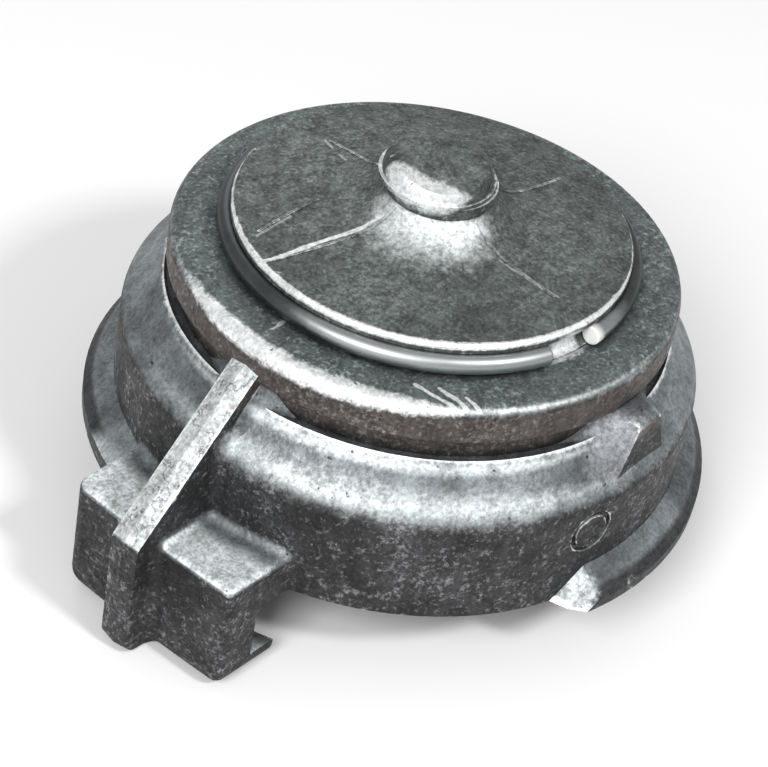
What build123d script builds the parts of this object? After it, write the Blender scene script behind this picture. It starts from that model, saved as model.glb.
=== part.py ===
from build123d import *

import os
from math import cos, degrees, isclose, radians, sin, sqrt, tan

# Blank cap of a quarter-turn claw coupling, DN 50: a cast aluminium bayonet ring that swivels on
# a plug, the spring-wire ring that keeps the plug in, and the rubber gasket under the plug.
#
# Millimetres. Z is the swivel axis. z = 0 is the plane of the two claw tips, the knob is on top,
# and the claws lie on the X axis. A mating coupling comes from below and locks by a turn about Z.

# ---------------------------------------------------------------- driving dimensions
# heights, stacked up from the claw tips
lip_thickness = 3.3  # hook lip
hook_height = 7.7  # room between the lip and the roof of the hook, for the mating ridge
ridge_height = 5.3  # full height of the cam ridges, level with the tops of the claw blocks
band_height = 13.5  # plain band, from the ring's lower end to the shoulder
shoulder_height = 6.9  # bell-shaped shoulder
neck_lip = 0.5  # the neck groove's floor lies this far below the shoulder's inner lip
neck_height = 3.0
flange_height = 5.0
seat_wall = 3.1  # metal between the neck groove and the step that the plug bears on

# radii, built outwards from the journal
bore_r = 24.9
seat_width = 6.7  # inner step of the ring, over the plug's flange
ring_wall = 5.0
collar_width = 6.9  # from the bore to the rim of the flange
neck_depth = 1.4
ridge_width = 3.6
lip_gap = 1.1  # play between a hook lip and the band of an equal coupling
hook_gap = 1.2  # play between a hook's back wall and the ridge of an equal coupling
claw_wall = 4.0  # metal behind the hook
nose_reach = 3.6  # how far the rib stands out from the claw block

# edges of the turned outline
flange_edge = 1.5
flange_lower_edge = 0.5
shoulder_lip = 0.4  # bevel at the shoulder's inner lip
shoulder_round = 1.9  # how far in from the band the shoulder's rounding starts
cone_drop = 3.7  # height of the cone between the lip and that rounding
cavity_edge = 0.8  # chamfer at the mouth of the cavity

# the cam ridges
ridge_start = 73.0  # degrees from the claw's centre line to the point of the ridge
ridge_ramp = 6.5  # degrees of the steep lead-in
ridge_lead_height = 4.2  # height where the lead-in ends
ridge_crown = 1.3  # fall of the ridge top from the band to the bevel
ridge_bevel = 1.5  # width of the bevel along the ridge's rim
ridge_bevel_fall = 1.7
ridge_nose = 2.4  # rounding of the ridge's end, seen from above
ridge_bury = 4.0  # degrees that the ridge runs on inside the next claw's block
ridge_stretches = 8  # stretches that the helix is drawn in

# the claws
claw_lead = 13.4  # half width on the side that the mating ridge enters
claw_trail = 12.4  # half width on the side where the cam ridge runs in
claw_splay = 0.8  # how much nearer the outer face comes to the axis at the lead end
lead_corner = 1.2
trail_corner = 2.4
claw_foot = 2.8  # rounding at the claw tip
claw_edge = 1.0
hook_corner = 1.9
cast_round = 1.5  # rounding in the inner corners of the casting

# the rib that runs from the flange to each claw
rib_half = 2.1
rib_draft = 9.0  # degrees, both ways from the parting plane
rib_slope = 46.8  # degrees below level
rib_set_in = 0.6  # the crest starts this far inside the flange's rim
rib_start_height = 2.3  # and this far above the flange's underside
nose_top = 1.2  # rounding where the crest turns down into the nose
nose_foot = 2.2  # rounding at the nose's lower end
gusset_root = 1.0  # how deep the rib's widened root lies in the neck
gusset_base = 8.6  # half width of that root, level with the neck's floor
gusset_top = 1.2  # how far it reaches up inside the flange
gusset_drop = 1.0  # its outer end stops this far below the rib's crest

# the wrench lugs: wide under the flange, narrow over the shoulder
lug_angle = 92.5  # degrees from the claw's centre line
lug_root = 1.5  # how deep the lug's inner end lies in the neck
lug_set_in = 1.3  # its outer end lies this far inside the band
lug_inner_base = 11.6
lug_outer_base = 5.6
lug_inner_crest = 3.2
lug_outer_crest = 1.8
lug_edge = 1.3

# the round cast mark on the band: a plain ring-shaped groove
mark_angle = 259.2  # degrees about Z
mark_height = 9.9  # above the ring's lower end
mark_r = 3.0
mark_pad_r = 2.35
mark_depth = 0.45

# the plug
running_clearance = 0.10
plug_flange_gap = 0.4
seat_gap = 0.25
plug_face_gap = 0.5  # the plug stops this far above the ring's lower end
plug_flange_edge = 0.6
journal_wall = 4.3
crown_wall = 4.4
hollow_corner = 3.0
rim_height = 1.16  # above the wire's groove
rim_edge = 0.35
cone_rise = 1.6
flare_r = 12.0  # the cone starts to flare upwards here
flare_rise = 2.9

# the gasket and its groove in the plug
groove_outer_wall = 1.8
groove_inner_wall = 2.7
gasket_depth = 7.0
gasket_slack = 0.15
gasket_stand = 1.3  # how far the gasket stands out below the ring's lower end
gasket_edge = 0.9
gasket_slit_height = 3.9  # middle of the slit that lets pressure spread the lip, from the lower face
gasket_slit_half = 0.9
gasket_slit_depth = 2.4

# the knob: a round foot, and a head with a thin lip round its lower edge
knob_foot_r = 6.9
knob_foot_height = 1.5
knob_r = 7.2
knob_lip = 0.5
knob_dome_r = 6.75
knob_dome_height = 3.0
knob_flat_r = 2.4  # nearly flat middle of the crown
knob_worn_depth = 0.25  # below the crown, where the worn flat crosses the knob's axis
knob_worn_tilt = 12.0
knob_worn_angle = -128.0  # degrees about Z, the side that the worn flat faces
knob_shift = 0.65  # the head was cast this far off the foot
knob_shift_angle = 124.5

# raised casting witness lines on the cone, each through three points
witness_lines = (
    ((-23.9, 6.4), (-16.4, 3.3), (-6.0, 0.6)),
    ((-20.1, 10.6), (-16.6, 10.5), (-10.5, 9.9)),
    ((-1.2, -6.0), (-1.4, -12.9), (-1.0, -19.9)),
    ((5.0, -3.0), (11.0, -4.2), (18.7, -4.7)),
    ((-0.3, 6.5), (0.2, 13.0), (0.4, 18.1)),
)
witness_width = 0.32
witness_height = 0.12

# the spring-wire ring
wire_r = 1.25
wire_lift = 0.2  # gap under the wire
wire_slack = 0.06  # play between the wire and its groove
wire_reach = 0.25  # how far the wire's centre stands out from the plug's side
wire_gap = 16.0  # degrees left open
wire_gap_at = 262.5  # middle of the opening, degrees about Z
wire_end_edge = 0.25

# ---------------------------------------------------------------- worked out from them
margin = 1.0  # how far a cutting shape runs past the metal it removes
half_turn = 180.0  # everything on the ring repeats after half a turn

lip_z = lip_thickness
face_z = lip_z + hook_height  # lower end of the ring and roof of the hooks
claw_top_z = face_z + ridge_height
shoulder_foot_z = face_z + band_height
shoulder_z = shoulder_foot_z + shoulder_height
neck_z = shoulder_z - neck_lip
flange_under_z = neck_z + neck_height
flange_top_z = flange_under_z + flange_height
seat_z = neck_z - seat_wall

cavity_r = bore_r + seat_width
band_r = cavity_r + ring_wall
flange_r = bore_r + collar_width
neck_r = flange_r - neck_depth
cone_r = band_r - shoulder_round
ridge_r = band_r + ridge_width
lip_r = band_r + lip_gap
hook_r = ridge_r + hook_gap
claw_r = hook_r + claw_wall
nose_r = claw_r + nose_reach

rib_start_r = flange_r - rib_set_in
rib_start_z = flange_under_z + rib_start_height
nose_top_z = rib_start_z - (nose_r - rib_start_r) * tan(radians(rib_slope))
band_crest_z = rib_start_z - (band_r - rib_start_r) * tan(radians(rib_slope))
ridge_end = half_turn - degrees(claw_trail / claw_r) + ridge_bury
ridge_run = ridge_end - ridge_start

plug_r = bore_r - running_clearance
plug_flange_r = cavity_r - plug_flange_gap
plug_flange_z = seat_z - seat_gap
plug_face_z = face_z + plug_face_gap
wire_z = flange_top_z + wire_lift + wire_r
wire_centre_r = plug_r + wire_reach
groove_r = wire_r + wire_slack
groove_half = sqrt(groove_r**2 - wire_reach**2)
rim_z = wire_z + groove_half + rim_height
flare_z = rim_z + cone_rise
knob_foot_z = flare_z + flare_rise
knob_z = knob_foot_z + knob_foot_height
knob_dome_z = knob_z + knob_lip
knob_crown_z = knob_dome_z + knob_dome_height
hollow_r = plug_r - journal_wall
hollow_z = rim_z - crown_wall

gasket_outer_r = plug_flange_r - groove_outer_wall
gasket_inner_r = hollow_r + groove_inner_wall
gasket_seat_z = plug_face_z + gasket_depth
gasket_foot_z = face_z - gasket_stand
gasket_slit_z = gasket_foot_z + gasket_slit_height


def upright(angle):
    """Upright plane through the axis: its x runs outwards at this angle and its y runs up."""
    out = Vector(cos(radians(angle)), sin(radians(angle)), 0)
    side = Vector(sin(radians(angle)), -cos(radians(angle)), 0)
    return Plane(origin=(0, 0, 0), x_dir=out, z_dir=side)


def across(radius):
    """Upright plane square to the X axis at this radius: its x runs sideways and its y runs up."""
    return Plane(origin=(radius, 0, 0), x_dir=(0, 1, 0), z_dir=(1, 0, 0))


def on_claw(edge):
    """Whether an edge lies between the band and the outer faces of the claws."""
    return band_r - margin < abs(edge.center().X) < claw_r + margin


def ridge_top(angle):
    """Level of a cam ridge beside the band, this many degrees from its point: lead-in, then helix."""
    if angle <= ridge_ramp:
        return face_z + ridge_lead_height * angle / ridge_ramp
    climb = (angle - ridge_ramp) / (half_turn - ridge_start - ridge_ramp)
    return face_z + ridge_lead_height + (ridge_height - ridge_lead_height) * climb


# ---------------------------------------------------------------- claw, with its hook and rib
with BuildPart() as claw:
    # the block: one outline seen from above, rounded at the tip and a little at its top
    with BuildSketch():
        with BuildLine():
            Polyline(
                (neck_r + margin, -claw_trail),
                (claw_r, -claw_trail),
                (claw_r, 0),
                (claw_r - claw_splay, claw_lead),
                (neck_r + margin, claw_lead),
                close=True,
            )
        make_face()
        fillet(vertices().sort_by_distance((claw_r, -claw_trail))[0], radius=trail_corner)
        fillet(vertices().sort_by_distance((claw_r - claw_splay, claw_lead))[0], radius=lead_corner)
    extrude(amount=claw_top_z)
    outer_edges = edges().filter_by_position(Axis.X, claw_r - 2 * trail_corner, claw_r + margin)
    fillet(outer_edges.group_by(Axis.Z)[0], radius=claw_foot)
    top_edges = edges().group_by(Axis.Z)[-1]
    fillet(top_edges.filter_by_position(Axis.X, band_r, claw_r + margin), radius=claw_edge)

    # the rib: an upright outline in the parting plane, drawn out both ways with casting draft
    with BuildSketch(Plane.XZ):
        with BuildLine():
            Polyline(
                (neck_r - margin, rib_start_z),
                (rib_start_r, rib_start_z),
                (nose_r, nose_top_z),
                (nose_r, 0),
                (neck_r - margin, 0),
                close=True,
            )
        make_face()
        fillet(vertices().sort_by_distance((nose_r, nose_top_z))[0], radius=nose_top)
        fillet(vertices().sort_by_distance((nose_r, 0))[0], radius=nose_foot)
    extrude(amount=rib_half, both=True, taper=rib_draft)

    # the hook: the room under the roof, open towards the axis, its upper corner rounded
    with BuildSketch(Plane.XZ):
        with BuildLine():
            Polyline(
                (0, -margin),
                (lip_r, -margin),
                (lip_r, lip_z),
                (hook_r, lip_z),
                (hook_r, face_z),
                (0, face_z),
                close=True,
            )
        make_face()
        fillet(vertices().sort_by_distance((hook_r, face_z))[0], radius=hook_corner)
    revolve(axis=Axis.Z, mode=Mode.SUBTRACT)

# ---------------------------------------------------------------- cam ridge
with BuildPart() as cam_ridge:
    # a level ledge round the band, rounded at its free end
    with BuildSketch(Plane.XY.offset(face_z)):
        with BuildLine():
            inner = CenterArc((0, 0), cavity_r + margin, ridge_start, ridge_run)
            outer = CenterArc((0, 0), ridge_r, ridge_start, ridge_run)
            Line(inner @ 0, outer @ 0)
            Line(inner @ 1, outer @ 1)
        make_face()
        fillet(vertices().sort_by_distance(outer @ 0)[0], radius=ridge_nose)
    extrude(amount=ridge_height + margin)

    # its top is cut by a surface that climbs as it goes round, first steeply, then as a helix
    lead_in = [-margin, 0, ridge_ramp]
    climb_run = ridge_run + margin - ridge_ramp
    helix = [ridge_ramp + climb_run * n / ridge_stretches for n in range(ridge_stretches + 1)]
    for stretch in (lead_in, helix):
        for angle in stretch:
            level = ridge_top(angle)
            with BuildSketch(upright(ridge_start + angle)):
                with BuildLine():
                    Polyline(
                        (cavity_r, level),
                        (band_r, level),
                        (ridge_r - ridge_bevel, level - ridge_crown),
                        (ridge_r, level - ridge_crown - ridge_bevel_fall),
                        (ridge_r + margin, level - ridge_crown - ridge_bevel_fall),
                        (ridge_r + margin, seat_z),
                        (cavity_r, seat_z),
                        close=True,
                    )
                make_face()
        loft(ruled=stretch is lead_in, mode=Mode.SUBTRACT)

# ---------------------------------------------------------------- wrench lug
with BuildPart() as wrench_lug:
    for radius, base, crest, foot_z in (
        (neck_r - lug_root, lug_inner_base, lug_inner_crest, neck_z - margin),
        (band_r - lug_set_in, lug_outer_base, lug_outer_crest, shoulder_foot_z),
    ):
        with BuildSketch(across(radius)):
            with BuildLine():
                Polyline(
                    (-base, foot_z),
                    (-crest, flange_under_z),
                    (crest, flange_under_z),
                    (base, foot_z),
                    close=True,
                )
            make_face()
    loft(ruled=True)
    crest_edges = edges().group_by(Axis.Z)[-1]
    fillet(crest_edges.sort_by(Axis.X)[1:], radius=lug_edge)

# ---------------------------------------------------------------- widened root of the rib
with BuildPart() as gusset:
    for radius, base, crest, foot_z, top_z in (
        (neck_r - gusset_root, gusset_base, rib_half, neck_z - margin, flange_under_z + gusset_top),
        (band_r, rib_half, rib_half / 2, shoulder_foot_z, band_crest_z - gusset_drop),
    ):
        with BuildSketch(across(radius)):
            with BuildLine():
                Polyline((-base, foot_z), (-crest, top_z), (crest, top_z), (base, foot_z), close=True)
            make_face()
    loft(ruled=True)

# ---------------------------------------------------------------- bayonet ring
with BuildPart() as bayonet_ring:
    # collar, neck, bell shoulder and band in one turned outline
    with BuildSketch(Plane.XZ):
        with BuildLine():
            Polyline(
                (band_r, shoulder_foot_z),
                (band_r, face_z),
                (cavity_r + cavity_edge, face_z),
                (cavity_r, face_z + cavity_edge),
                (cavity_r, seat_z),
                (bore_r, seat_z),
                (bore_r, flange_top_z),
                (flange_r, flange_top_z),
                (flange_r, flange_under_z),
                (neck_r, flange_under_z),
                (neck_r, neck_z),
                (flange_r - shoulder_lip, neck_z),
                (flange_r, shoulder_z),
                (cone_r, shoulder_z - cone_drop),
            )
            Spline(
                (cone_r, shoulder_z - cone_drop),
                (band_r, shoulder_foot_z),
                tangents=[(cone_r - flange_r, -cone_drop), (0, -1)],
            )
        make_face()
        fillet(vertices().sort_by_distance((flange_r, flange_top_z))[0], radius=flange_edge)
        fillet(vertices().sort_by_distance((flange_r, flange_under_z))[0], radius=flange_lower_edge)
    revolve(axis=Axis.Z)

    # the claws, rounded where they grow out of the band and the shoulder
    with PolarLocations(0, 2):
        add(claw.part)
    beside_rib = edges().filter_by_position(Axis.Y, -rib_half - margin, rib_half + margin).filter_by(on_claw)
    at_top = edges().filter_by_position(Axis.Z, claw_top_z, claw_top_z)
    inner_corners = beside_rib.filter_by(Axis.Z) + (beside_rib & at_top).filter_by(Axis.X)
    inner_corners += at_top.filter_by(GeomType.CIRCLE).filter_by(lambda edge: isclose(edge.radius, band_r))
    fillet(inner_corners, radius=cast_round)

    with PolarLocations(0, 2):
        add(cam_ridge.part)
        add(gusset.part)
    with PolarLocations(0, 2, start_angle=lug_angle):
        add(wrench_lug.part)

    # ribs, lugs and blocks stop at the bore and the cavity
    with BuildSketch(Plane.XZ):
        with BuildLine():
            Polyline(
                (0, 0),
                (cavity_r, 0),
                (cavity_r, seat_z),
                (bore_r, seat_z),
                (bore_r, flange_top_z + margin),
                (0, flange_top_z + margin),
                close=True,
            )
        make_face()
    revolve(axis=Axis.Z, mode=Mode.SUBTRACT)

    # the round mark
    mark_out = Vector(cos(radians(mark_angle)), sin(radians(mark_angle)), 0)
    mark_centre = mark_out * (band_r - mark_depth) + Vector(0, 0, face_z + mark_height)
    with BuildSketch(Plane(origin=mark_centre, z_dir=mark_out)):
        Circle(mark_r)
        Circle(mark_pad_r, mode=Mode.SUBTRACT)
    extrude(amount=mark_depth + margin, mode=Mode.SUBTRACT)

# ---------------------------------------------------------------- head of the knob
with BuildPart() as knob_head:
    with BuildSketch(Plane.XZ):
        with BuildLine():
            Polyline(
                (knob_flat_r, knob_crown_z),
                (0, knob_crown_z),
                (0, knob_z),
                (knob_r, knob_z),
                (knob_r, knob_dome_z),
                (knob_dome_r, knob_dome_z),
            )
            Spline((knob_dome_r, knob_dome_z), (knob_flat_r, knob_crown_z), tangents=[(0, 1), (-1, 0)])
        make_face()
    revolve(axis=Axis.Z)

    # years of blows have left the crown flat on one side
    worn_side = Vector(cos(radians(knob_worn_angle)), sin(radians(knob_worn_angle)), 0)
    worn_up = worn_side * tan(radians(knob_worn_tilt)) + Vector(0, 0, 1)
    worn_flat = Plane(origin=(0, 0, knob_crown_z - knob_worn_depth), z_dir=worn_up)
    split(bisect_by=worn_flat, keep=Keep.BOTTOM)

# ---------------------------------------------------------------- lid of the plug
with BuildPart() as lid:
    # a shallow cone that flares up to the foot of the knob
    with BuildSketch(Plane.XZ):
        with BuildLine():
            Polyline(
                (knob_foot_r, knob_foot_z),
                (0, knob_foot_z),
                (0, rim_z - rim_edge),
                (plug_r - rim_edge, rim_z - rim_edge),
                (plug_r - rim_edge, rim_z),
                (flare_r, flare_z),
            )
            cone_slope = (flare_r - plug_r + rim_edge, cone_rise)
            TangentArc((flare_r, flare_z), (knob_foot_r, knob_foot_z), tangent=cone_slope)
        make_face()
    revolve(axis=Axis.Z)

# ---------------------------------------------------------------- witness lines
with BuildPart() as witness:
    # thin upright walls, cut off a little above the lid
    with BuildSketch(Plane.XY.offset(rim_z - rim_edge)):
        with BuildLine():
            for points in witness_lines:
                Spline(*points)
        trace(line_width=witness_width)
    extrude(amount=knob_foot_z - rim_z)
    with Locations((0, 0, witness_height)):
        add(lid.part, mode=Mode.INTERSECT)

# ---------------------------------------------------------------- cap plug
with BuildPart() as cap_plug:
    # flange, journal, wire groove and rim in one turned outline
    with BuildSketch(Plane.XZ):
        with BuildLine():
            Polyline(
                (plug_r, wire_z - groove_half),
                (plug_r, plug_flange_z),
                (plug_flange_r, plug_flange_z),
                (plug_flange_r, plug_face_z),
                (gasket_outer_r, plug_face_z),
                (gasket_outer_r, gasket_seat_z),
                (gasket_inner_r, gasket_seat_z),
                (gasket_inner_r, plug_face_z),
                (hollow_r, plug_face_z),
                (hollow_r, hollow_z),
                (0, hollow_z),
                (0, rim_z),
                (plug_r - rim_edge, rim_z),
                (plug_r, rim_z - rim_edge),
                (plug_r, wire_z + groove_half),
            )
            ThreePointArc(
                (plug_r, wire_z + groove_half),
                (wire_centre_r - groove_r, wire_z),
                (plug_r, wire_z - groove_half),
            )
        make_face()
        fillet(vertices().sort_by_distance((hollow_r, hollow_z))[0], radius=hollow_corner)
        chamfer(vertices().sort_by_distance((plug_flange_r, plug_flange_z))[0], length=plug_flange_edge)
    revolve(axis=Axis.Z)

    # lid, witness lines, foot of the knob, and its head
    add(lid.part)
    add(witness.part)
    with Locations((0, 0, rim_z)):
        Cylinder(knob_foot_r, knob_z - rim_z, align=(Align.CENTER, Align.CENTER, Align.MIN))
    with PolarLocations(knob_shift, 1, start_angle=knob_shift_angle, rotate=False):
        add(knob_head.part)

# ---------------------------------------------------------------- snap ring
with BuildPart() as snap_ring:
    with BuildLine():
        wire_path = CenterArc((0, 0, wire_z), wire_centre_r, wire_gap_at + wire_gap / 2, 360 - wire_gap)
    with BuildSketch(Plane(origin=wire_path @ 0, z_dir=wire_path % 0)):
        Circle(wire_r)
    sweep()
    fillet(edges().filter_by(GeomType.CIRCLE).group_by(SortBy.LENGTH)[0], radius=wire_end_edge)

# ---------------------------------------------------------------- gasket
with BuildPart() as gasket:
    with BuildSketch(Plane.XZ):
        with BuildLine():
            Polyline(
                (gasket_inner_r + gasket_slack, gasket_seat_z),
                (gasket_outer_r - gasket_slack, gasket_seat_z),
                (gasket_outer_r - gasket_slack, gasket_foot_z),
                (gasket_inner_r + gasket_slack, gasket_foot_z),
                (gasket_inner_r + gasket_slack, gasket_slit_z - gasket_slit_half),
                (gasket_inner_r + gasket_slack + gasket_slit_depth, gasket_slit_z),
                (gasket_inner_r + gasket_slack, gasket_slit_z + gasket_slit_half),
                close=True,
            )
        make_face()
        fillet(vertices().group_by(Axis.Y)[0], radius=gasket_edge)
    revolve(axis=Axis.Z)

# ---------------------------------------------------------------- one file per piece
os.makedirs("parts", exist_ok=True)
pieces = {"bayonet_ring": bayonet_ring, "cap_plug": cap_plug, "snap_ring": snap_ring, "gasket": gasket}
for name, piece in pieces.items():
    piece.part.label = name
    export_step(piece.part, f"parts/{name}.step")
    print(name, round(piece.part.volume), "mm3 in", len(piece.part.solids()), "solid")
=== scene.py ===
# %% [markdown]
# # Blank cap of a claw coupling
#
# This is the closing cap of a quarter-turn hose coupling. A cast aluminium ring with two hooked
# claws swivels on a plug with a small knob. A ring of spring wire holds the two together, and a
# gasket sits in the plug's underside. The shapes could be modelled again here, but the CAD model
# already has each one at its real size. So this script adds only what the light needs: finishes,
# a floor, lamps and a camera. Everything is in metres, with Z up through the knob.

from math import cos, radians, sin

import bpy
from mathutils import Matrix, Vector


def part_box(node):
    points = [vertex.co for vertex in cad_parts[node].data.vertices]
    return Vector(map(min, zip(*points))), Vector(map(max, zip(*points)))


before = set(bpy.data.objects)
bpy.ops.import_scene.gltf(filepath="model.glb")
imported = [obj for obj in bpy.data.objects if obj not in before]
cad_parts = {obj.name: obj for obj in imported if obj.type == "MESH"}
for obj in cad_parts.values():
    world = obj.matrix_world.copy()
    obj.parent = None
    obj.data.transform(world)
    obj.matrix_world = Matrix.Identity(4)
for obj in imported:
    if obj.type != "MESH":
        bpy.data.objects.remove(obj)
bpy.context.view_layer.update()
mm = 0.001

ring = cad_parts["bayonet_ring"]
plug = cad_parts["cap_plug"]
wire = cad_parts["snap_ring"]
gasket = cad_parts["gasket"]
print("pieces:", ", ".join(sorted(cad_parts)))

# %% [markdown]
# ## Where things are
#
# The cap stands on its claw tips at Z = 0 and is turned about X = Y = 0. Lamps, camera and wear
# could each be placed by X, Y and Z, but on a round object two angles are easier to read and to
# change: an azimuth, in degrees about Z, and an elevation above the level plane. One helper turns
# the angles into a vector, and another finds a point from its azimuth, distance from the axis and
# height.


# %% Directions and points round the axis
def direction(azimuth, elevation=0):
    """Unit vector that points this way from the swivel axis."""
    level = cos(radians(elevation))
    return Vector(
        (level * cos(radians(azimuth)), level * sin(radians(azimuth)), sin(radians(elevation)))
    )


def point(azimuth, radius, height):
    """Point at this azimuth, distance from the axis and height."""
    return direction(azimuth) * radius + Vector((0, 0, height))


cap_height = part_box("cap_plug")[1].z
flange_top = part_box("bayonet_ring")[1].z
claw_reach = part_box("bayonet_ring")[1].x
print(f"the cap is {cap_height / mm:.1f} mm high and {2 * claw_reach / mm:.1f} mm over the claws")

# %% [markdown]
# ## Camera
#
# A long lens keeps circles close to true ellipses, as in a catalogue. The camera looks down at
# one claw from the left front, and is rolled a little, so that the cap leans to the right. A
# constraint could aim it, but says nothing of the roll. So its matrix is built from the camera's
# own right, up and backward directions.

# %% Make the camera
view_azimuth = -145.04
view_elevation = 38.69
view_distance = 329.1 * mm
view_roll = 11.19
view_target = Vector((-1.18, 1.69, 15.89)) * mm
lens_mm = 120.4
nearest_seen = 10 * mm

backward = direction(view_azimuth, view_elevation)
level_right = (-backward).cross(Vector((0, 0, 1))).normalized()
level_up = level_right.cross(-backward)
right = cos(radians(view_roll)) * level_right + sin(radians(view_roll)) * level_up
up = cos(radians(view_roll)) * level_up - sin(radians(view_roll)) * level_right

camera = bpy.data.objects.new("camera", bpy.data.cameras.new("camera"))
camera.data.lens = lens_mm
camera.data.clip_start = nearest_seen
camera.matrix_world = Matrix.Translation(view_target + backward * view_distance) @ (
    Matrix((right, up, backward)).transposed().to_4x4()
)
bpy.context.scene.collection.objects.link(camera)
bpy.context.scene.camera = camera
print("camera at", [round(value, 3) for value in camera.matrix_world.translation])

# %% [markdown]
# ## Lamps and room
#
# Cast metal is read by its highlights. Small lamps could give them, but they would be hard dots,
# so each lamp is a softbox. The strongest stands by the camera, high on its left, and puts the
# long highlight on the shoulder and the ribs. A small one on the right throws the soft shadow
# across the floor to the left, and a faint one behind lifts the far rims. The room is plain white
# and not too bright, so that upright faces stay dark.


# %% Softboxes and a white room
def softbox(name, azimuth, elevation, distance, width, watts):
    """Square area lamp that faces the middle of the cap."""
    lamp = bpy.data.objects.new(name, bpy.data.lights.new(name, "AREA"))
    lamp.data.size = width
    lamp.data.energy = watts
    away = direction(azimuth, elevation)
    lamp.matrix_world = Matrix.Translation(away * distance + Vector((0, 0, cap_height / 2))) @ (
        away.to_track_quat("Z", "Y").to_matrix().to_4x4()
    )
    bpy.context.scene.collection.objects.link(lamp)
    return lamp


lamps = [
    softbox("left softbox", azimuth=-165, elevation=38, distance=0.8, width=0.32, watts=4.4),
    softbox("right softbox", azimuth=-92, elevation=47, distance=0.9, width=0.12, watts=3.6),
    softbox("back strip", azimuth=55, elevation=30, distance=0.9, width=0.35, watts=0.8),
]

room_white = (1, 1, 1, 1)
room_light = 0.46
world = bpy.data.worlds.new("white room")
world.use_nodes = True
background = world.node_tree.nodes["Background"].inputs
background["Color"].default_value = room_white
background["Strength"].default_value = room_light
bpy.context.scene.world = world
bpy.context.scene.view_settings.view_transform = "Standard"
print("lamps:", ", ".join(lamp.name for lamp in lamps))

# %% [markdown]
# ## Floor
#
# The cap stands on a pale matt board. A curved studio sweep would hide the horizon, but from this
# high the camera never sees it, so one flat square is enough.

# %% Make the floor
floor_half = 1.5
floor_white = (0.9, 0.9, 0.9, 1)
floor_mesh = bpy.data.meshes.new("floor")
corners = [(x * floor_half, y * floor_half, 0) for x, y in ((-1, -1), (1, -1), (1, 1), (-1, 1))]
floor_mesh.from_pydata(corners, [], [(0, 1, 2, 3)])
floor = bpy.data.objects.new("floor", floor_mesh)
bpy.context.scene.collection.objects.link(floor)

floor_finish = bpy.data.materials.new("floor")
floor_finish.use_nodes = True
board = floor_finish.node_tree.nodes["Principled BSDF"].inputs
board["Base Color"].default_value = floor_white
board["Roughness"].default_value = 0.9
floor.data.materials.append(floor_finish)
print(f"the floor is {2 * floor_half:.0f} m square")

# %% [markdown]
# ## Helpers for shader nodes
#
# Every finish below is a tree of many nodes. They could be set out by hand in the shader editor,
# but a script makes the same tree each time and can be read. The first class places one node and
# feeds its inputs. The second adds the steps that finishes are made of, so that a material reads
# from top to bottom like a recipe.


# %% Placing nodes
class Tree:
    """One node tree. An input is a number, a colour or another node's output socket."""

    def __init__(self, tree):
        self.tree = tree

    def feed(self, socket, value):
        """Links a socket into another, or sets it to a value."""
        if isinstance(value, bpy.types.NodeSocket):
            self.tree.links.new(value, socket)
        else:
            socket.default_value = value

    def put(self, kind, inputs=None, **settings):
        """One node with its settings and inputs. Returns the node."""
        node = self.tree.nodes.new(kind)
        for name, value in settings.items():
            setattr(node, name, value)
        for name, value in (inputs or {}).items():
            self.feed(node.inputs[name], value)
        return node

    def math(self, operation, first, second=0.0):
        """Output of one Math node."""
        return self.put("ShaderNodeMath", {0: first, 1: second}, operation=operation).outputs[0]

    def vector(self, operation, first, second=(0.0, 0.0, 0.0), output="Vector"):
        """Output of one Vector Math node."""
        node = self.put("ShaderNodeVectorMath", {0: first, 1: second}, operation=operation)
        return node.outputs[output]

    def scaled(self, vector, amount):
        """A vector or colour times a number."""
        inputs = {0: vector, "Scale": amount}
        return self.put("ShaderNodeVectorMath", inputs, operation="SCALE").outputs["Vector"]

    def axis(self, vector, name):
        """One of X, Y and Z of a vector."""
        return self.put("ShaderNodeSeparateXYZ", {0: vector}).outputs[name]


print("a tree can place nodes and feed them")


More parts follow.
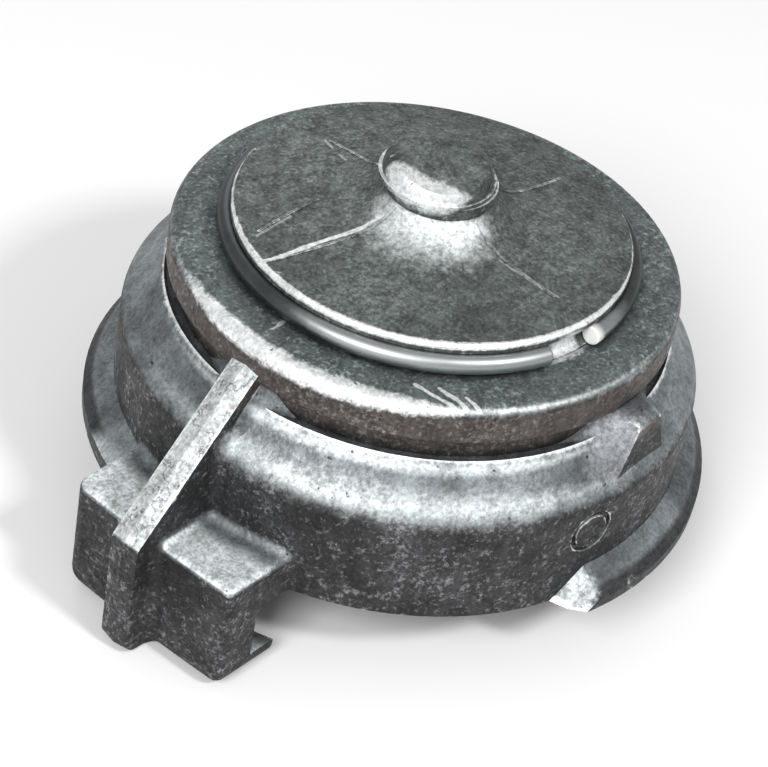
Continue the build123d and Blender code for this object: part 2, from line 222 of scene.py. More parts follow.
# %% Patterns, masks and mixes
class Recipe(Tree):
    """A tree with the steps that finishes are made of. A mask runs from 0 to 1."""

    def plus(self, first, second):
        return self.math("ADD", first, second)

    def minus(self, first, second):
        return self.math("SUBTRACT", first, second)

    def times(self, first, second):
        return self.math("MULTIPLY", first, second)

    def noise(self, where, scale, detail=4, roughness=0.6):
        """Output of one noise texture, in marks per metre."""
        inputs = {"Vector": where, "Scale": scale, "Detail": detail, "Roughness": roughness}
        return self.put("ShaderNodeTexNoise", inputs).outputs["Fac"]

    def roughen(self, value, noise, amount):
        """A value plus a share of noise that swings about zero."""
        return self.plus(value, self.times(self.minus(noise, 0.5), amount))

    def ramp(self, value, low, high, bottom=0.0, top=1.0):
        """Runs smoothly from bottom, where the value is low, to top, where it is high."""
        inputs = {"Value": value, "From Min": low, "From Max": high}
        inputs |= {"To Min": bottom, "To Max": top}
        node = self.put("ShaderNodeMapRange", inputs, interpolation_type="SMOOTHSTEP")
        return node.outputs["Result"]

    def every(self, *masks):
        """Product of masks: white only where all of them are."""
        product = masks[0]
        for mask in masks[1:]:
            product = self.times(product, mask)
        return product

    def any(self, *masks):
        """The strongest of several masks."""
        strongest = masks[0]
        for mask in masks[1:]:
            strongest = self.math("MAXIMUM", strongest, mask)
        return strongest

    def mix(self, amount, first, second):
        """Output of one colour mix."""
        node = self.put("ShaderNodeMix", {"Factor": amount}, data_type="RGBA")
        for socket, value in ((node.inputs[6], first), (node.inputs[7], second)):
            self.feed(socket, value if isinstance(value, bpy.types.NodeSocket) else (*value, 1))
        return node.outputs[2]

    def blend(self, amount, first, second):
        """Output of one number mix."""
        return self.put("ShaderNodeMix", {"Factor": amount, 2: first, 3: second}).outputs[0]

    def group(self, shared, **inputs):
        """Outputs of one node that holds a shared group."""
        return self.put("ShaderNodeGroup", inputs, node_tree=shared).outputs

    def mask(self, shared, **inputs):
        """The mask that a shared group gives with these inputs."""
        return self.group(shared, **inputs)["Mask"]


print("a recipe adds patterns, masks and mixes")

# %% [markdown]
# ## Shared groups
#
# Wear, dirt and casting skin come back in several finishes. Each could be built again in every
# material, but a node group is built once and placed with its own values. The groups give out
# only masks and heights, and the shader stays in the material, where an exporter can read it.

# %% Start a shared group
socket_kinds = {float: "NodeSocketFloat", tuple: "NodeSocketVector"}


def new_group(name, inputs, outputs=("Mask",)):
    """Group with these inputs, as {name: default}, and outputs. Returns what its recipe needs."""
    group = bpy.data.node_groups.new(name, "ShaderNodeTree")
    for label, default in inputs.items():
        kind = socket_kinds[type(default)]
        socket = group.interface.new_socket(label, in_out="INPUT", socket_type=kind)
        socket.default_value = default
    for label in outputs:
        group.interface.new_socket(label, in_out="OUTPUT", socket_type="NodeSocketFloat")
    recipe = Recipe(group)
    given = recipe.put("NodeGroupInput").outputs
    results = recipe.put("NodeGroupOutput").inputs
    place = recipe.put("ShaderNodeTexCoord").outputs
    return group, recipe, given, results, place


print("groups can be made")

# %% [markdown]
# ## Wear on edges
#
# Raised edges of a casting lose their dark skin first and shine. Pointiness could find them, but
# it needs evenly spaced vertices, which a CAD mesh doesn't have. An ambient occlusion node that
# looks inwards works on any mesh: close to an outer edge its rays meet the next face after a
# short way. Broken up with noise, the mask fades in speckles, as real wear does. Edges near the
# ground and edges that run upright are rubbed less, so the mask also follows height and how far a
# face looks up.

# %% Edge wear group
edge_wear, recipe, given, results, place = new_group(
    "edge wear", {"Width": 1.2 * mm, "Amount": 1.0, "Foot": 6 * mm, "Waist": 16 * mm}
)
occlusion_rays = 8
wear_at_foot = 0.35
wear_on_upright = 0.45

occlusion = recipe.put(
    "ShaderNodeAmbientOcclusion",
    {"Distance": given["Width"]},
    inside=True,
    only_local=True,
    samples=occlusion_rays,
)
edge = recipe.minus(1.0, occlusion.outputs["AO"])
height = recipe.axis(place["Object"], "Z")
facing = recipe.axis(place["Normal"], "Z")
by_height = recipe.ramp(height, given["Foot"], given["Waist"], wear_at_foot, 1.0)
by_slope = recipe.ramp(facing, -0.2, 0.5, wear_on_upright, 1.0)
worn = recipe.every(edge, by_height, by_slope, given["Amount"])
speckle = recipe.noise(place["Object"], 1000, detail=6, roughness=0.7)
stretches = recipe.noise(place["Object"], 160, detail=3)
worn = recipe.roughen(recipe.roughen(worn, speckle, 0.8), stretches, 0.8)
recipe.feed(results["Mask"], recipe.ramp(worn, 0.26, 0.46))
print("edge wear group:", len(edge_wear.nodes), "nodes")

# %% [markdown]
# ## Rubbed faces and painted top light
#
# Dust, hands and hoses rub the faces that look up and leave the dark skin on upright ones. The
# same mask also paints top light: faces that look up come out lighter and upright ones darker, as
# the light falls on them. A mask by height would put a level line across the cap. This one comes
# from how far a face looks up, so it follows the shape, and noise makes its border ragged.

# %% Rubbed face and painted top light group
rubbed_face_and_top_light, recipe, given, results, place = new_group(
    "rubbed face and top light", {"Steep": 0.2, "Gentle": 0.6, "Ragged": 0.5}
)
facing = recipe.axis(place["Normal"], "Z")
speckle = recipe.noise(place["Object"], 420, detail=7, roughness=0.72)
facing = recipe.roughen(facing, speckle, given["Ragged"])
recipe.feed(results["Mask"], recipe.ramp(facing, given["Steep"], given["Gentle"]))
print("rubbed face and top light group:", len(rubbed_face_and_top_light.nodes), "nodes")

# %% [markdown]
# ## Worn rings and painted highlights
#
# Much of this object is turned, so wear follows circles about the axis, as on the rims of the
# flange and the lid, and so do the painted highlights on the round of the shoulder, on the crown
# and flare of the knob and on the wire. They could be painted into a texture, but distances need
# no unwrapped surface. This group marks a soft ring at one radius and height. It is widest towards
# one side, and gets thinner and more broken as it runs round.

# %% Worn ring and painted highlight group
worn_and_highlight_ring, recipe, given, results, place = new_group(
    "worn and highlight ring",
    {
        "Radius": 30 * mm,
        "Height": 30 * mm,
        "Width": 2 * mm,
        "Toward": (1.0, 0.0, 0.0),
        "Spread": 0.5,
        "Ragged": 0.6,
        "Grain": 500.0,
        "Soft": 0.4,
    },
)
level = recipe.vector("MULTIPLY", place["Object"], (1.0, 1.0, 0.0))
outward = recipe.minus(recipe.vector("LENGTH", level, output="Value"), given["Radius"])
upward = recipe.minus(recipe.axis(place["Object"], "Z"), given["Height"])
squares = recipe.plus(recipe.math("POWER", outward, 2.0), recipe.math("POWER", upward, 2.0))
distance = recipe.math("DIVIDE", recipe.math("SQRT", squares), given["Width"])
around = recipe.vector("NORMALIZE", level)
side = recipe.vector("DOT_PRODUCT", around, given["Toward"], output="Value")
side = recipe.ramp(side, given["Spread"], 1.0)
speckle = recipe.noise(place["Object"], given["Grain"], detail=7, roughness=0.72)
near = recipe.roughen(recipe.minus(side, distance), speckle, given["Ragged"])
near = recipe.ramp(near, 0.0, given["Soft"])
recipe.feed(results["Mask"], recipe.every(near, recipe.ramp(side, 0.0, 0.15)))
print("worn and highlight ring group:", len(worn_and_highlight_ring.nodes), "nodes")

# %% [markdown]
# ## Worn patches
#
# Some spots have been struck or polished more than others. A gradient texture on an empty could
# mark one, but then an empty has to travel with the piece. A distance from a point in the piece's
# own space does the same without it: a patch is a soft ball round that point, broken up by noise.

# %% Worn patch group
worn_patch, recipe, given, results, place = new_group(
    "worn patch", {"Centre": (0.0, 0.0, 0.0), "Radius": 8 * mm, "Ragged": 0.8}
)
distance = recipe.vector("DISTANCE", place["Object"], given["Centre"], output="Value")
near = recipe.minus(1.0, recipe.math("DIVIDE", distance, given["Radius"]))
speckle = recipe.noise(place["Object"], 500, detail=7, roughness=0.72)
near = recipe.roughen(near, speckle, given["Ragged"])
recipe.feed(results["Mask"], recipe.ramp(near, 0.12, 0.5))
print("worn patch group:", len(worn_patch.nodes), "nodes")


# %% Patches round several points
def patches(recipe, centres, size, ragged):
    """Mask of worn patches of one size round these points."""
    return recipe.any(
        *(recipe.mask(worn_patch, Centre=centre, Radius=size, Ragged=ragged) for centre in centres)
    )


print("patches can be placed round points")

# %% [markdown]
# ## Scratches and seams
#
# A scratch is a thin bright line. It could be cut into the mesh, but it shines far more than it
# is deep, so it is a mask. The group finds the nearest point of a straight line between two ends.
# A little noise on the way there makes the line waver, and more noise breaks it up.

# %% Scratch group
scratch, recipe, given, results, place = new_group(
    "scratch",
    {
        "From": (0.0, 0.0, 0.0),
        "To": (1.0, 0.0, 0.0),
        "Width": 0.25 * mm,
        "Waver": 1.0 * mm,
        "Gaps": 1.2,
    },
)
shake = recipe.put("ShaderNodeTexNoise", {"Vector": place["Object"], "Scale": 220, "Detail": 3})
shake = recipe.vector("SUBTRACT", shake.outputs["Color"], (0.5, 0.5, 0.5))
shaken = recipe.vector("ADD", place["Object"], recipe.scaled(shake, given["Waver"]))
along = recipe.vector("SUBTRACT", given["To"], given["From"])
start = recipe.vector("SUBTRACT", shaken, given["From"])
share = recipe.math(
    "DIVIDE",
    recipe.vector("DOT_PRODUCT", start, along, output="Value"),
    recipe.vector("DOT_PRODUCT", along, along, output="Value"),
)
share = recipe.put("ShaderNodeClamp", {"Value": share}).outputs[0]
distance = recipe.vector("DISTANCE", start, recipe.scaled(along, share), output="Value")
line = recipe.minus(1.0, recipe.math("DIVIDE", distance, given["Width"]))
speckle = recipe.noise(place["Object"], 700, detail=5, roughness=0.7)
line = recipe.roughen(line, speckle, given["Gaps"])
recipe.feed(results["Mask"], recipe.ramp(line, 0.1, 0.5))
print("scratch group:", len(scratch.nodes), "nodes")

# %% [markdown]
# ## Scratches on the metal
#
# Both ends of a scratch must lie on the surface. Their heights could be typed in, but a ray
# dropped from above finds them, and still does if the CAD model changes. So an end is given only
# by its azimuth and its distance from the axis.


# %% Lines between places on top of a piece
def on_top(piece, azimuth, radius_mm):
    """Point of the piece's upper surface at this azimuth and distance from the axis."""
    above = point(azimuth, radius_mm * mm, 2 * cap_height)
    return piece.ray_cast(above, Vector((0, 0, -1)))[1]


def scratches(recipe, piece, width, *lines):
    """Mask of scratches on top of a piece, each from one (azimuth, radius in mm) to another."""
    masks = []
    for start, end in lines:
        ends = {"From": on_top(piece, *start), "To": on_top(piece, *end)}
        masks.append(recipe.mask(scratch, **ends, Width=width))
    return recipe.any(*masks)


bpy.context.view_layer.update()
print(f"the crown of the knob is at {on_top(plug, 0, 0).z / mm:.1f} mm")

# %% [markdown]
# ## Dirt and painted shade in corners
#
# Grease and soot stay where a cloth doesn't reach, and the same mask paints the shade that falls
# in inner corners, grooves and under the knob. The opposite of edge wear would do, but only near
# edges. An ambient occlusion node that looks outwards finds inner corners and grooves, and darkens
# them deeper in, as dirt and as painted shade.

# %% Corner dirt and painted shade group
corner_dirt_and_shade, recipe, given, results, place = new_group(
    "corner grime and shade", {"Reach": 5 * mm, "Amount": 1.0}
)
occlusion = recipe.put(
    "ShaderNodeAmbientOcclusion", {"Distance": given["Reach"]}, samples=occlusion_rays
)
hidden = recipe.every(recipe.minus(1.0, occlusion.outputs["AO"]), given["Amount"])
speckle = recipe.noise(place["Object"], 350, detail=5, roughness=0.7)
hidden = recipe.roughen(hidden, speckle, 0.6)
recipe.feed(results["Mask"], recipe.ramp(hidden, 0.15, 0.7))
print("corner grime and shade group:", len(corner_dirt_and_shade.nodes), "nodes")

# %% [markdown]
# ## Skin of a sand casting
#
# A sand mould leaves fine grain all over, with scattered pits, and years of handling leave cloudy
# patches and small light chips. Real displacement would need millions of faces for marks this
# small, and a bump catches the light in the same way. This group gives the height of that relief
# and masks for the rest. All of them come from noise, from half a millimetre for the grain to
# about a centimetre for the clouds.

# %% Casting skin group: relief
casting_skin, recipe, given, results, place = new_group(
    "casting skin",
    {"Grain": 2000.0, "Pit share": 0.3},
    ("Height", "Mottle", "Pit", "Cloud", "Chip", "Crack"),
)
pit_depth = 0.6
grain = recipe.noise(place["Object"], given["Grain"], detail=4, roughness=0.7)
lumps = recipe.noise(place["Object"], 480, detail=3)
hollows = recipe.noise(place["Object"], 900, detail=2, roughness=0.5)
pit = recipe.ramp(recipe.minus(given["Pit share"], hollows), 0.0, 0.07)
height = recipe.plus(recipe.times(grain, 0.5), recipe.times(lumps, 0.9))
recipe.feed(results["Height"], recipe.minus(height, recipe.times(pit, pit_depth)))
recipe.feed(results["Pit"], pit)
print("the relief of the skin has", len(casting_skin.nodes), "nodes")

# %% Casting skin group: marks
mottle = recipe.plus(recipe.times(grain, 0.6), recipe.times(lumps, 0.4))
recipe.feed(results["Mottle"], recipe.ramp(mottle, 0.34, 0.66))

cloud = recipe.noise(place["Object"], 75, detail=7, roughness=0.65)
recipe.feed(results["Cloud"], recipe.ramp(cloud, 0.36, 0.64))

chip = recipe.noise(place["Object"], 1000, detail=7, roughness=0.78)
chip = recipe.roughen(chip, cloud, 0.35)
recipe.feed(results["Chip"], recipe.ramp(chip, 0.52, 0.66))

crease = recipe.noise(place["Object"], 260, detail=5)
crease = recipe.math("ABSOLUTE", recipe.minus(crease, 0.5))
recipe.feed(results["Crack"], recipe.ramp(crease, 0.02, 0.004))
print("casting skin group:", len(casting_skin.nodes), "nodes")

# %% [markdown]
# ## Measures of the surface
#
# The layers of a finish ask where they are: how high, how far from the axis, how far the face
# looks up. Each layer could work that out for itself, but then the same nodes come back many
# times. So one small class measures them once for each material. The claws lie along X, so X and
# Y, without their signs, say how far a spot is toward either claw and how far to its side.


# %% What a layer can ask about a spot
class Spot:
    """Measures of a spot on the surface, each as a socket."""

    def __init__(self, recipe, skin):
        place = recipe.put("ShaderNodeTexCoord").outputs
        level = recipe.vector("MULTIPLY", place["Object"], (1, 1, 0))
        self.radius = recipe.vector("LENGTH", level, output="Value")
        self.height = recipe.axis(place["Object"], "Z")
        self.toward_claws = recipe.math("ABSOLUTE", recipe.axis(place["Object"], "X"))
        self.beside_claws = recipe.math("ABSOLUTE", recipe.axis(place["Object"], "Y"))
        self.facing = recipe.axis(place["Normal"], "Z")
        self.looks_up = recipe.ramp(self.facing, 0.5, 0.75)
        self.skin = skin


print("spots can be measured")

# %% [markdown]
# ## Cast aluminium
#
# Ring and plug are cast from the same metal and differ in age and handling. They could share one
# material, but then their colours would. So one function lays down what both have: dark skin with
# clouds, chips and mottle, then each piece's own layers, then pits, and dirt with painted shade in
# inner corners. A layer is a mask, a colour and a bareness: bare worn metal is more metallic,
# smoother and more even than the skin.

# %% How skin and bare metal differ
skin_mottle, bare_mottle = 0.6, 0.12
skin_roughness, bare_roughness, dirt_roughness = 0.62, 0.40, 0.8
skin_metal, bare_metal = 0.35, 0.85
chip_cover, chip_bareness = 0.6, 0.25
# The second darkness is for dirt and painted shade in corners.
pit_darkness, dirt_and_shade_darkness = 0.8, 0.85
mottle_gloss = -0.07
grain_relief = {"Strength": 0.6, "Distance": 0.2 * mm}
print(f"metallic from {skin_metal} on the skin to {bare_metal} where it is bare")


# %% Cast aluminium
def cast_aluminium(name, dark_skin, light_skin, chip_colour, dirt_and_shade_amount, layers):
    """Weathered casting. Adds its nodes to a new material and returns it."""
    material = bpy.data.materials.new(name)
    material.use_nodes = True
    recipe = Recipe(material.node_tree)
    surface = material.node_tree.nodes["Principled BSDF"].inputs
    skin = recipe.group(casting_skin)
    spot = Spot(recipe, skin)

    colour = recipe.mix(skin["Cloud"], dark_skin, light_skin)
    colour = recipe.mix(recipe.times(skin["Chip"], chip_cover), colour, chip_colour)
    bare = recipe.times(skin["Chip"], chip_bareness)
    for lay in layers:
        for mask, layer_colour, layer_bareness in lay(recipe, spot):
            colour = recipe.mix(mask, colour, layer_colour)
            bare = recipe.blend(mask, bare, layer_bareness)

    swing = recipe.times(recipe.minus(skin["Mottle"], 0.5), 2.0)
    mottle = recipe.times(swing, recipe.blend(bare, skin_mottle, bare_mottle))
    colour = recipe.scaled(colour, recipe.plus(1.0, mottle))
    # Dirt and painted shade in inner corners, grooves and undercuts, darkened toward soot.
    dirt_and_shade = recipe.mask(corner_dirt_and_shade, Amount=dirt_and_shade_amount)
    soot_and_shade = [value * 0.3 for value in dark_skin]
    colour = recipe.mix(recipe.times(skin["Pit"], pit_darkness), colour, soot_and_shade)
    colour = recipe.mix(recipe.times(dirt_and_shade, dirt_and_shade_darkness), colour, soot_and_shade)
    roughness = recipe.blend(bare, skin_roughness, bare_roughness)
    roughness = recipe.plus(roughness, recipe.times(swing, mottle_gloss))
    bump = recipe.put("ShaderNodeBump", {"Height": skin["Height"], **grain_relief})

    recipe.feed(surface["Base Color"], colour)
    recipe.feed(surface["Roughness"], recipe.blend(dirt_and_shade, roughness, dirt_roughness))
    recipe.feed(surface["Metallic"], recipe.blend(bare, skin_metal, bare_metal))
    recipe.feed(surface["Normal"], bump.outputs["Normal"])
    return material


print("cast aluminium is ready to use")

# %% [markdown]
# ## Ring: faces and blocks
#
# On the ring all faces that look up are made grey: rubbed skin, and painted top light that keeps
# upright faces dark. The steep outer fall of each cam ridge, low down, is painted black as painted
# shade. The tops of the blocks beside the ribs are the lightest faces, dull and almost white.
# Separate material slots would give them hard borders, and the CAD piece has only one, so masks by
# height and radius choose the faces.

# %% Faces and blocks of the ring
# Colours of rubbed faces with painted top light, and of painted shade on the ridges' outer fall.
rubbed_and_lit_dark, rubbed_and_lit_grey = (0.11, 0.12, 0.125), (0.225, 0.25, 0.26)
ridge_shade_black = (0.035, 0.036, 0.038)
block_white = (0.64, 0.68, 0.69)
block_top = 16.3 * mm
ridge_crown_r = 38.6 * mm


def ring_faces(recipe, spot):
    """Rubbed faces with painted top light, painted shade on the ridges' fall, light block tops."""
    # Faces that look up: rubbed skin and painted top light.
    stained_and_lit = recipe.mix(spot.skin["Cloud"], rubbed_and_lit_dark, rubbed_and_lit_grey)
    yield recipe.mask(rubbed_face_and_top_light), stained_and_lit, 0.45

    # Painted shade: the steep outer fall of each cam ridge, low down, is painted black.
    low = recipe.ramp(spot.height, block_top + 1.5 * mm, block_top + 0.5 * mm)
    outer_fall = recipe.ramp(spot.radius, ridge_crown_r, ridge_crown_r + 0.8 * mm)
    off_block = recipe.ramp(spot.toward_claws, 36 * mm, 34 * mm)
    yield recipe.every(low, outer_fall, off_block), ridge_shade_black, 0.2

    outside = recipe.ramp(spot.radius, 38 * mm, 41 * mm)
    on_block = recipe.ramp(off_block, 1.0, 0.0)
    yield recipe.every(low, spot.looks_up, outside, on_block), block_white, 0.15


print(f"the tops of the blocks lie at {block_top / mm:.1f} mm")

# %% [markdown]
# ## Ring: flange and ribs
#
# The flange on top keeps a darker, greener skin, and its side is brown with old grease. The
# crests of the ribs are rubbed pale and have fine cracks. A vertex group could hold each of these
# areas, but the CAD mesh stays as it is, so they too are found by height, radius and slope.

# %% Flange and ribs of the ring
flange_green, flange_chip = (0.110, 0.133, 0.130), (0.24, 0.28, 0.28)
grease_brown, grease_chip = (0.066, 0.056, 0.051), (0.16, 0.145, 0.135)
crest_pale = (0.50, 0.52, 0.52)
flange_r = 31.8 * mm
flange_foot = flange_top - 5 * mm
rib_half = 2.3 * mm
crack_light = 0.2


def ring_flange(recipe, spot):
    """Top and side of the flange."""
    high = recipe.ramp(spot.height, flange_top - 1.2 * mm, flange_top - 0.6 * mm)
    green = recipe.mix(spot.skin["Chip"], flange_green, flange_chip)
    yield recipe.every(high, spot.looks_up), green, 0.2

    above_neck = recipe.ramp(spot.height, flange_foot - 3 * mm, flange_foot - 2 * mm)
    upright = recipe.ramp(spot.facing, 0.4, 0.2)
    brown = recipe.mix(spot.skin["Chip"], grease_brown, grease_chip)
    yield recipe.every(above_neck, upright), brown, 0.2


def ring_crests(recipe, spot):
    """Crests of the ribs, which lie along X outside the flange."""
    on_rib = recipe.ramp(spot.beside_claws, rib_half + 0.1 * mm, rib_half - 0.3 * mm)
    sloped = recipe.ramp(spot.facing, 0.45, 0.6)
    outside = recipe.ramp(spot.radius, flange_r - 1 * mm, flange_r)
    cracked = recipe.ramp(spot.skin["Crack"], 0.0, 1.0, 1.0, crack_light)
    yield recipe.every(on_rib, sloped, outside, cracked), crest_pale, 0.3


print(f"the ribs are {2 * rib_half / mm:.1f} mm wide and start at radius {flange_r / mm:.1f} mm")

# %% [markdown]
# ## Ring: ridges, lugs and shoulder
#
# Two places are polished by use: the lead-in of each cam ridge, where the mating hook climbs on,
# and the sloped face of each wrench lug. The round of the shoulder and the lip above it get a
# painted highlight. Edge wear alone would leave them dark, because they are broad. So ridges and
# lugs get patches, in pairs half a turn apart, and shoulder and lip get rings of painted highlight
# that are widest on the lit side.

# %% Ridges, lugs and shoulder of the ring
lead_in_grey = (0.44, 0.47, 0.48)
lug_grey = (0.33, 0.34, 0.36)
# Colour of the painted highlight on the round of the shoulder and its lip.
shoulder_highlight = (0.54, 0.58, 0.59)
lug_cover = 0.6
lit_side = direction(-148)
lead_ins = [point(azimuth, 38.8 * mm, 13.6 * mm) for azimuth in (-104, 76)]
lug_faces = [point(azimuth, 34.5 * mm, 30.5 * mm) for azimuth in (-94, 86)]


def ring_polish_and_highlight(recipe, spot):
    """Lead-ins of the ridges, faces of the lugs, then painted highlight on shoulder and lip."""
    lead_in = patches(recipe, lead_ins, 4.2 * mm, 0.6)
    yield recipe.every(lead_in, recipe.ramp(spot.facing, 0.15, 0.4)), lead_in_grey, 0.35

    lug_face = patches(recipe, lug_faces, 7 * mm, 0.7)
    lug_face = recipe.every(lug_face, recipe.ramp(spot.facing, 0.05, 0.3))
    yield recipe.times(lug_face, lug_cover), lug_grey, 0.25

    # Painted highlight along the shoulder's round and its lip, widest on the lit side.
    lit = {"Toward": lit_side, "Spread": 0.3, "Grain": 900}
    shoulder = {"Radius": 35.2 * mm, "Height": 26.8 * mm, "Width": 3.2 * mm}
    lip = {"Radius": 32.4 * mm, "Height": 30.6 * mm, "Width": 1.3 * mm}
    shoulder = recipe.mask(worn_and_highlight_ring, **shoulder, **lit, Ragged=1.1, Soft=1.3)
    lip = recipe.mask(worn_and_highlight_ring, **lip, **lit, Ragged=0.9, Soft=1.0)
    yield recipe.any(shoulder, lip), shoulder_highlight, 0.45


print("polished places:", len(lead_ins), "lead-ins and", len(lug_faces), "lug faces")

# %% [markdown]
# ## Ring: bright edges and scratches
#
# Bare aluminium shows on all raised edges. A knocked and polished stretch lies along one side of
# the flange's rim, and a thin line of wear runs on from it; both are widened toward the lamps as a
# painted highlight. Four scratches cross the top of the flange. They could be mixed in at any
# depth, but fresh wear cuts through what lies below it, so this is the last of the ring's layers.

# %% Bright edges and scratches of the ring
bright = (0.80, 0.82, 0.82)
knocked_side = direction(-168)


def ring_bright(recipe, spot):
    """Bare metal on edges, on the rim of the flange with painted highlight, and in scratches."""
    # The rim's knocked stretch and thin line: wear, widened on the lit side as painted highlight.
    rim = {"Radius": flange_r - 0.6 * mm, "Height": flange_top - 0.5 * mm, "Ragged": 1.0}
    knocked = {"Width": 1.7 * mm, "Toward": knocked_side, "Spread": 0.66, "Soft": 0.5}
    thin = {"Width": 0.6 * mm, "Toward": lit_side, "Spread": -0.3, "Ragged": 0.6, "Soft": 1.3}
    flange_scratches = scratches(
        recipe,
        ring,
        0.4 * mm,
        ((-141.9, 27.7), (-133.4, 31.2)),
        ((-136.2, 27.9), (-130.8, 31.2)),
        ((-130.4, 29.5), (-128.1, 31.2)),
        ((179.7, 25.9), (179.7, 31.4)),
    )
    worn = recipe.any(
        recipe.mask(edge_wear, Amount=1.1),
        recipe.mask(worn_and_highlight_ring, **{**rim, **knocked}),
        recipe.mask(worn_and_highlight_ring, **{**rim, **thin}),
        flange_scratches,
    )
    yield worn, bright, 0.6


ring_finish = cast_aluminium(
    "ring casting",
    dark_skin=(0.012, 0.012, 0.013),
    light_skin=(0.042, 0.042, 0.044),
    chip_colour=(0.25, 0.25, 0.26),
    dirt_and_shade_amount=0.8,
    layers=(ring_faces, ring_flange, ring_crests, ring_polish_and_highlight, ring_bright),
)
print("ring finish has", len(ring_finish.node_tree.nodes), "nodes")

# %% [markdown]
# ## Plug: skin and flare
#
# The plug is greener than the ring, with a fine light speckle. Where the lid flares up to the
# knob, the hand that turns it has polished it, and one side, toward the lamps, is painted lighter
# as a painted highlight. A patch there would be round and shapeless, and a wide ring wraps about
# the flare as the polish and the highlight do.

# %% Skin and flare of the plug
speckle_green = (0.24, 0.27, 0.26)
# Colour of the polish and painted highlight on the flare.
flare_polish_highlight = (0.66, 0.70, 0.70)
knob_foot_r = 6.9 * mm
knob_foot_z = cap_height - 5 * mm


def plug_faces(recipe, spot):
    """Speckle on the lid, then polish and painted highlight on the flare."""
    face = recipe.mask(rubbed_face_and_top_light, Steep=0.6, Gentle=1.3, Ragged=1.2)
    yield recipe.times(face, 0.3), speckle_green, 0.3

    # Polish and painted highlight on the flare, widest on the lit side.
    flare = {"Radius": knob_foot_r + 0.5 * mm, "Height": knob_foot_z - 1 * mm, "Width": 7 * mm}
    polish_highlight = {"Toward": lit_side, "Grain": 700, "Spread": 0.1, "Ragged": 1.1, "Soft": 0.9}
    flare = recipe.mask(worn_and_highlight_ring, **flare, **polish_highlight)
    sloped = recipe.ramp(spot.facing, 0.2, 0.5)
    off_knob = recipe.ramp(spot.height, knob_foot_z + 0.3 * mm, knob_foot_z - 0.3 * mm)
    yield recipe.every(flare, sloped, off_knob), flare_polish_highlight, 0.35


print(f"the knob stands on the flare at {knob_foot_z / mm:.1f} mm")

# %% [markdown]
# ## Plug: bright rims and fine lines
#
# The rim of the lid is bare. The crown of the knob gets a painted highlight on its lit side, and
# the groove in the gap of the wire is bare metal with a painted highlight on its lower flank. One
# broad scratch runs from the rim to the knob, and thinner lines from the mould and from handling
# lie on lid and knob. A curve could follow a scratch that bends, but a mask needs only its
# distance, so a bent line is made of straight pieces that share their ends.

# %% Bright rims and fine lines of the plug
fine_line_grey = (0.34, 0.37, 0.36)
lid_r = 24.6 * mm
lid_z = cap_height - 9.7 * mm
groove_z = flange_top + 1.2 * mm
wire_gap = point(-97.5, 24.8 * mm, groove_z)


def plug_bright(recipe, spot):
    """Bare metal on edges, rim, wire gap and broad scratch; painted highlight on crown and gap."""
    rim = {"Radius": lid_r, "Height": lid_z, "Width": 0.6 * mm, "Toward": lit_side}
    crown = {"Radius": 6.3 * mm, "Height": cap_height - 2.3 * mm, "Width": 2.6 * mm}
    broad_scratch = scratches(
        recipe,
        plug,
        0.45 * mm,
        ((164.8, 24.5), (165.9, 19.6)),
        ((165.9, 19.6), (167.4, 11.4)),
        ((167.4, 11.4), (169.5, 8.6)),
    )
    # Painted highlight on the lit side of the knob's crown.
    crown_highlight = {"Toward": direction(-166), "Spread": 0.3, "Ragged": 0.7, "Soft": 0.5}
    worn = recipe.any(
        recipe.mask(edge_wear, Width=0.8 * mm, Amount=0.9),
        recipe.mask(worn_and_highlight_ring, **rim, Spread=-0.7, Ragged=0.8),
        recipe.mask(worn_and_highlight_ring, **crown, **crown_highlight),
        # The groove in the wire's gap: bare metal, with painted highlight on its lower flank.
        patches(recipe, [wire_gap], 3.2 * mm, 0.3),
        broad_scratch,
    )
    yield worn, bright, 0.6


def plug_fine_lines(recipe, spot):
    """Thin lines that the mould and handling left on lid and knob."""
    lines = scratches(
        recipe,
        plug,
        0.28 * mm,
        ((153.5, 23.0), (146.6, 18.2)),
        ((89.5, 18.6), (97.2, 13.7)),
        ((-103.7, 8.7), (-98.1, 13.6)),
        ((-98.1, 13.6), (-92.1, 20.1)),
        ((137.7, 6.6), (146.0, 3.4)),
    )
    yield lines, fine_line_grey, 0.4


plug_finish = cast_aluminium(
    "plug casting",
    dark_skin=(0.045, 0.052, 0.050),
    light_skin=(0.085, 0.096, 0.092),
    chip_colour=(0.20, 0.23, 0.22),
    dirt_and_shade_amount=0.4,
    layers=(plug_faces, plug_bright, plug_fine_lines),
)
print("plug finish has", len(plug_finish.node_tree.nodes), "nodes")

# %% [markdown]
# ## Spring wire
#
# The wire is drawn and hardened steel, smooth and dark, with a clear highlight along it. One
# stretch toward the front gets a painted highlight, and the cut end at the gap is light. A single
# dark metal would look like plastic, so smudges vary its colour and gloss.

# %% Spring wire
wire_dark, wire_smudge = (0.05, 0.055, 0.055), (0.14, 0.15, 0.15)
# Colour of the painted highlight on one stretch of the wire.
wire_highlight = (0.40, 0.42, 0.42)
cut_light = (0.9, 0.9, 0.88)
wire_finish = bpy.data.materials.new("spring wire")
wire_finish.use_nodes = True
recipe = Recipe(wire_finish.node_tree)
steel = wire_finish.node_tree.nodes["Principled BSDF"].inputs
smudge = recipe.noise(recipe.put("ShaderNodeTexCoord").outputs["Object"], 250)

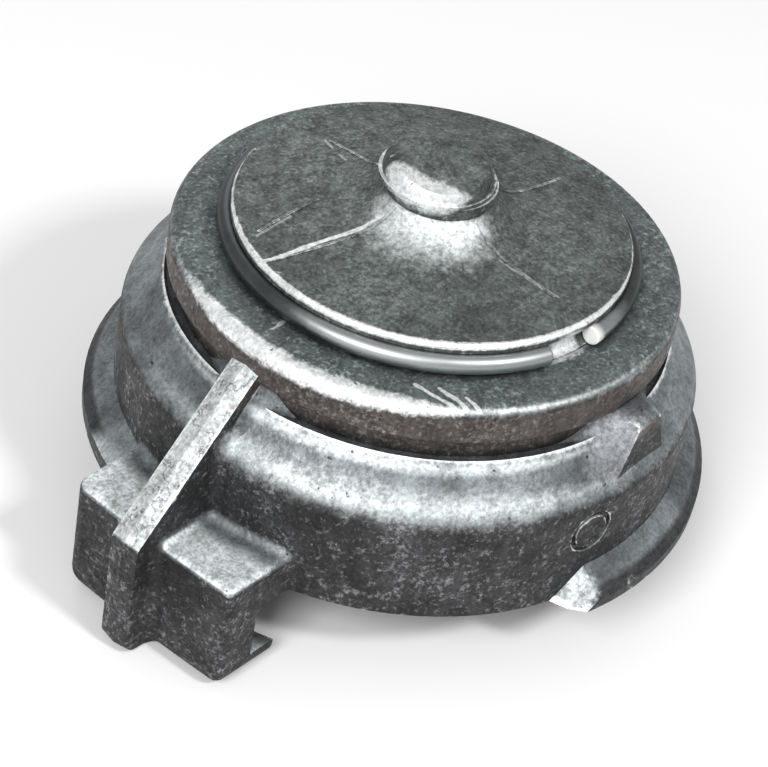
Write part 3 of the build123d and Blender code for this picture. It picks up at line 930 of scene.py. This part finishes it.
stretch = {"Radius": 25.4 * mm, "Height": groove_z + 0.9 * mm, "Width": 2.4 * mm}
# Painted highlight on one stretch of the wire, toward the front.
highlight_stretch = recipe.mask(worn_and_highlight_ring, **stretch, Toward=direction(-126), Spread=0.35, Ragged=0.25)
cut_end = patches(recipe, [point(-89.4, 25 * mm, groove_z)], 2.4 * mm, 0.1)

colour = recipe.mix(smudge, wire_dark, wire_smudge)
colour = recipe.mix(highlight_stretch, colour, wire_highlight)
recipe.feed(steel["Base Color"], recipe.mix(cut_end, colour, cut_light))
recipe.feed(steel["Roughness"], recipe.blend(smudge, 0.36, 0.50))
recipe.feed(steel["Metallic"], recipe.minus(1.0, cut_end))
print("wire finish has", len(wire_finish.node_tree.nodes), "nodes")

# %% [markdown]
# ## Gasket rubber
#
# The gasket is matt black rubber. New rubber would be one even black, but with age a faint grey
# bloom comes to its surface, so noise mixes two blacks and makes the bloom the duller of them.

# %% Gasket rubber
rubber_black, rubber_bloom = (0.012, 0.012, 0.012), (0.035, 0.035, 0.033)
rubber_finish = bpy.data.materials.new("gasket rubber")
rubber_finish.use_nodes = True
recipe = Recipe(rubber_finish.node_tree)
rubber = rubber_finish.node_tree.nodes["Principled BSDF"].inputs
place = recipe.put("ShaderNodeTexCoord").outputs["Object"]
bloom = recipe.noise(place, 180, detail=6, roughness=0.7)
recipe.feed(rubber["Base Color"], recipe.mix(bloom, rubber_black, rubber_bloom))
recipe.feed(rubber["Roughness"], recipe.blend(bloom, 0.55, 0.8))
print("rubber finish has", len(rubber_finish.node_tree.nodes), "nodes")

# %% [markdown]
# ## Dress the pieces
#
# Each CAD piece comes with a plain material in its slot. The faces already point to that slot, so
# they needn't be assigned again: putting the finish in the slot is enough.


# %% Put the finishes on the pieces
def dress(piece, finish):
    """Gives every face of a CAD piece this finish."""
    for slot in piece.material_slots:
        slot.material = finish
    print(piece.name, "has", finish.name)


dress(ring, ring_finish)
dress(plug, plug_finish)
dress(wire, wire_finish)
dress(gasket, rubber_finish)
